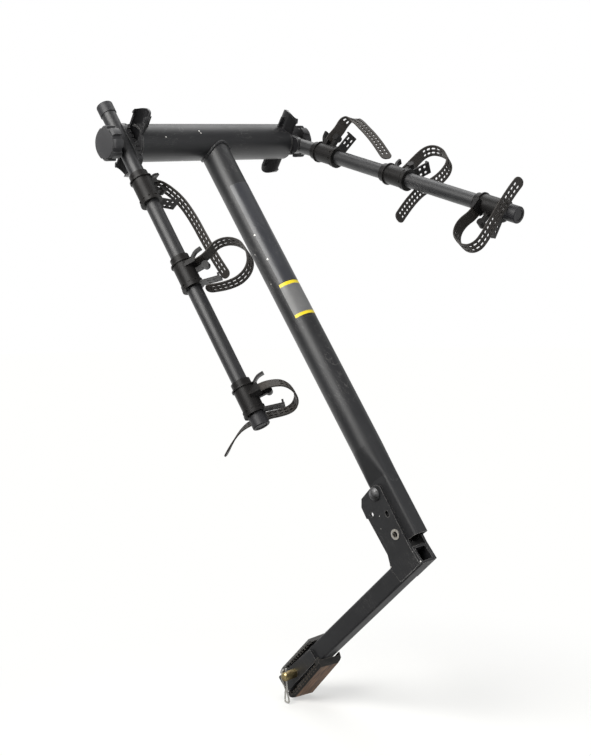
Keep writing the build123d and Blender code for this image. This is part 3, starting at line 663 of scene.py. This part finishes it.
# Weld bead where the mast meets the cross tube; sizes in millimetres
bead = {"radius": 2.3, "ripple": 3.2, "rise": 0.16, "drift": 0.08, "driftRate": 0.9, "proudMast": 0.6,
        "proudCross": 0.2, "stations": 181, "sides": 12}


def mastWeld():
    # Round bead along a saddle curve: x = r cos a, y = r sin a, height = sqrt(R^2 - y^2) under the cross
    # tube's axis. The bead's radius swells at every ripple, and drifts slowly.
    small, big = rack["mastRadius"] + bead["proudMast"], rack["crossRadius"] + bead["proudCross"]
    a = np.linspace(0, 2 * math.pi, bead["stations"])
    down = np.sqrt(big ** 2 - (small * np.sin(a)) ** 2)
    path = crossCentre + np.outer(small * np.cos(a), rightward) + np.outer(small * np.sin(a), mastFront)
    path -= np.outer(down, mastUp)
    run = np.concatenate([[0], np.cumsum(np.linalg.norm(np.diff(path, axis=0), axis=1))])
    tangent = np.gradient(path, axis=0)
    tangent[0] = tangent[-1] = path[1] - path[-2]
    tangent /= np.linalg.norm(tangent, axis=1, keepdims=True)
    first = np.cross(tangent, (0.31, 0.52, 0.79))   # any direction that the path never follows
    first /= np.linalg.norm(first, axis=1, keepdims=True)
    second = np.cross(tangent, first)
    rise = bead["rise"] * np.abs(np.sin(run * math.pi / bead["ripple"]))
    swell = bead["radius"] * (1 + rise + bead["drift"] * np.sin(run * bead["driftRate"]))
    angle = np.linspace(0, 2 * math.pi, bead["sides"] + 1)[:-1]
    ring = np.cos(angle)[None, :, None] * first[:, None] + np.sin(angle)[None, :, None] * second[:, None]
    points = (path[:, None] + ring * swell[:, None, None])[:-1]
    faces = [loopFaces(len(points), bead["sides"])]
    meshPiece("mast_weld", points.reshape(-1, 3) * mm, faces, "powderCoat", "mast")


# Films stuck on the mast: degrees round it (0 is +X, -90 looks to the rear) and millimetres up it
films = {
    "mast_film": {"round": (-146, -20), "up": (387, 588), "finish": "mastFilm"},
    "label_film": {"round": (-153, -24), "up": (325, 379), "finish": "labelFilm"},
    "label_bar_lower": {"round": (-153, -24), "up": (319, 324.9), "finish": "yellowFilm"},
    "label_bar_upper": {"round": (-153, -24), "up": (379.1, 385.4), "finish": "yellowFilm"},
}
filmFaces = (0.22, 0.05)   # millimetres off the mast: outer face, back
filmGrid = (41, 9)   # points round the mast and up it


def makeFilm(name, look):
    # Thin closed patch on the mast: radius r, place = axis + r (cos a * X + sin a * front) + up.
    (left, right), (low, high) = look["round"], look["up"]
    turns, heights = np.radians(np.linspace(left, right, filmGrid[0])), np.linspace(low, high, filmGrid[1])
    a, u = np.meshgrid(turns, heights, indexing="ij")
    foot = pivot - mastFront * rack["mastBehindPivot"]
    ring = np.cos(a)[..., None] * rightward + np.sin(a)[..., None] * mastFront
    sheets = [foot + ring * (rack["mastRadius"] + lift) + u[..., None] * mastUp for lift in filmFaces]
    points = np.concatenate([sheet.reshape(-1, 3) for sheet in sheets])
    grid = np.arange(a.size).reshape(a.shape)
    quads = sheetFaces(*a.shape)
    rim = np.concatenate([grid[:-1, 0], grid[-1, :-1], grid[:0:-1, -1], grid[0, :0:-1]])
    sides = np.stack([rim, rim + a.size, np.roll(rim, -1) + a.size, np.roll(rim, -1)], -1)
    faces = [quads, quads[:, ::-1] + a.size, sides]
    meshPiece(name, points * mm, faces, look["finish"], "mast", smooth=False)


# Floor. The camera sees it glow to white away from the rack, over its own shadow; surfaces that mirror
# it see only the glow, brighter behind the rack than in front.
stage = {
    "centre": (0, -0.2, 0), "radius": 9.0, "sides": 96, "below": 0.0005,
    "pale": (0.90, 0.90, 0.885), "grey": (0.84, 0.84, 0.82), "glow": (1, 1, 0.99, 1),
    "shadowAt": (0, -0.12, -0.12), "shadowReach": (0.12, 0.75), "shadowFade": (0.45, 1.0),
    "mirrorReach": (-0.2, 0.7), "mirrorGlow": (0.16, 1.7),
    "rests": ("adapter_shell_lower", "stinger_tube", "hitch_pin", "hairpin_clip"),
}


def makeFloor():
    # Round plate under the lowest corner, square to gravity; seen only from above.
    lowest = min(v.co.dot(skyward) for n in stage["rests"] for v in nodes[n].data.vertices)
    centre = Vector(stage["centre"])
    centre += skyward * (lowest - stage["below"] - centre.dot(skyward))
    angle = np.linspace(0, 2 * math.pi, stage["sides"] + 1)[:-1]
    first = skyward.orthogonal().normalized()
    second = skyward.cross(first)
    rim = np.outer(np.cos(angle), first) + np.outer(np.sin(angle), second)
    points = np.array(centre) + rim * stage["radius"]
    mesh = bpy.data.meshes.new("floor")
    mesh.from_pydata(points.tolist(), [], [list(range(stage["sides"]))])
    floor = bpy.data.objects.new("floor", mesh)
    bpy.context.scene.collection.objects.link(floor)
    mesh.materials.append(makeFloorMaterial())


def makeFloorMaterial():
    # Lit paint mixed with white glow: share = camera ray * distance fade + mirror ray.
    material, tree, shader = newMaterial("floor")
    place = objectPlace(tree)
    cloud = noise(tree, place, 3.0, 6.0)
    tree.links.new(mixColour(tree, cloud, stage["pale"], stage["grey"]), shader.inputs["Base Color"])
    shader.inputs["Roughness"].default_value = 0.7
    shader.inputs["Specular IOR Level"].default_value = 0.2
    away = measure(tree, "DISTANCE", place, stage["shadowAt"])
    fade = remap(tree, away, stage["shadowReach"], stage["shadowFade"], interpolation_type="SMOOTHSTEP")
    behind = measure(tree, "DOT_PRODUCT", place, tuple(-nearward))
    sheen = remap(tree, behind, stage["mirrorReach"], stage["mirrorGlow"])
    path = addNode(tree, "LightPath").outputs
    strength = calc(tree, "MULTIPLY_ADD", path["Is Glossy Ray"], sheen, path["Is Camera Ray"])
    glow = addNode(tree, "Emission", {"Color": stage["glow"], "Strength": strength}).outputs[0]
    share = calc(tree, "MULTIPLY_ADD", path["Is Camera Ray"], fade, path["Is Glossy Ray"])
    lit = addNode(tree, "MixShader", {0: share, 1: shader.outputs[0], 2: glow})
    clear = addNode(tree, "BsdfTransparent").outputs[0]
    back = addNode(tree, "NewGeometry").outputs["Backfacing"]
    both = addNode(tree, "MixShader", {0: back, 1: lit.outputs[0], 2: clear})
    tree.links.new(both.outputs[0], tree.nodes["Material Output"].inputs["Surface"])
    return material


# Lamps stand off the rack's middle: metres to the right, towards the sky and towards the camera
lamps = {
    "key": {"from": (-1.15, 1.3, 1.25), "size": 1.7, "power": 73, "tone": (1.0, 0.99, 0.97)},
    "fill": {"from": (1.6, 0.5, 1.3), "size": 1.6, "power": 16, "tone": (0.97, 0.98, 1.0)},
    "top": {"from": (0.1, 1.9, -0.8), "size": 1.6, "power": 20, "tone": (1.0, 1.0, 1.0)},
}
room = {"toWall": (-0.35, 0.85), "tone": (0.12, 0.85), "plain": 0.55, "mirrorMore": 0.35}


def makeLamps():
    middle = (Vector(cadBox[0]) + Vector(cadBox[1])) / 2
    for name, lamp in lamps.items():
        data = bpy.data.lights.new(name, "AREA")
        data.shape = "DISK"
        data.size = lamp["size"]
        data.energy = lamp["power"]
        data.color = lamp["tone"]
        light = bpy.data.objects.new(name, data)
        bpy.context.scene.collection.objects.link(light)
        toRight, toSky, toCamera = lamp["from"]
        light.location = middle + Vector(view["right"]) * toRight + skyward * toSky + nearward * toCamera
        light.rotation_euler = (middle - light.location).to_track_quat("-Z", "Y").to_euler()


def makeRoom():
    # World tone rises from the side of the camera to the wall behind the rack; the camera sees white.
    world = bpy.data.worlds.new("room")
    bpy.context.scene.world = world
    world.use_nodes = True
    tree = world.node_tree
    tree.nodes.clear()
    look = addNode(tree, "TexCoord").outputs["Generated"]
    toWall = measure(tree, "DOT_PRODUCT", look, tuple(-nearward))
    tone = remap(tree, toWall, room["toWall"], room["tone"])
    path = addNode(tree, "LightPath").outputs
    mirror = calc(tree, "MAXIMUM", path["Is Glossy Ray"], path["Is Transmission Ray"])
    share = calc(tree, "MULTIPLY_ADD", mirror, room["mirrorMore"], room["plain"])
    total = calc(tree, "MAXIMUM", calc(tree, "MULTIPLY", tone, share), path["Is Camera Ray"])
    sky = addNode(tree, "Background", {"Color": (1, 1, 1, 1), "Strength": total})
    out = addNode(tree, "OutputWorld", {0: sky.outputs[0]})
    out.is_active_output = True


makeCamera()
makeLamps()
makeRoom()
makeFloor()
dressNodes()
print("stage and finishes set")
for name, entry in straps.items():
    makeStrap(name, entry)
mastWeld()
for name, look in films.items():
    makeFilm(name, look)
print("straps, weld and films made")

bpy.context.scene.view_settings.view_transform = "Standard"
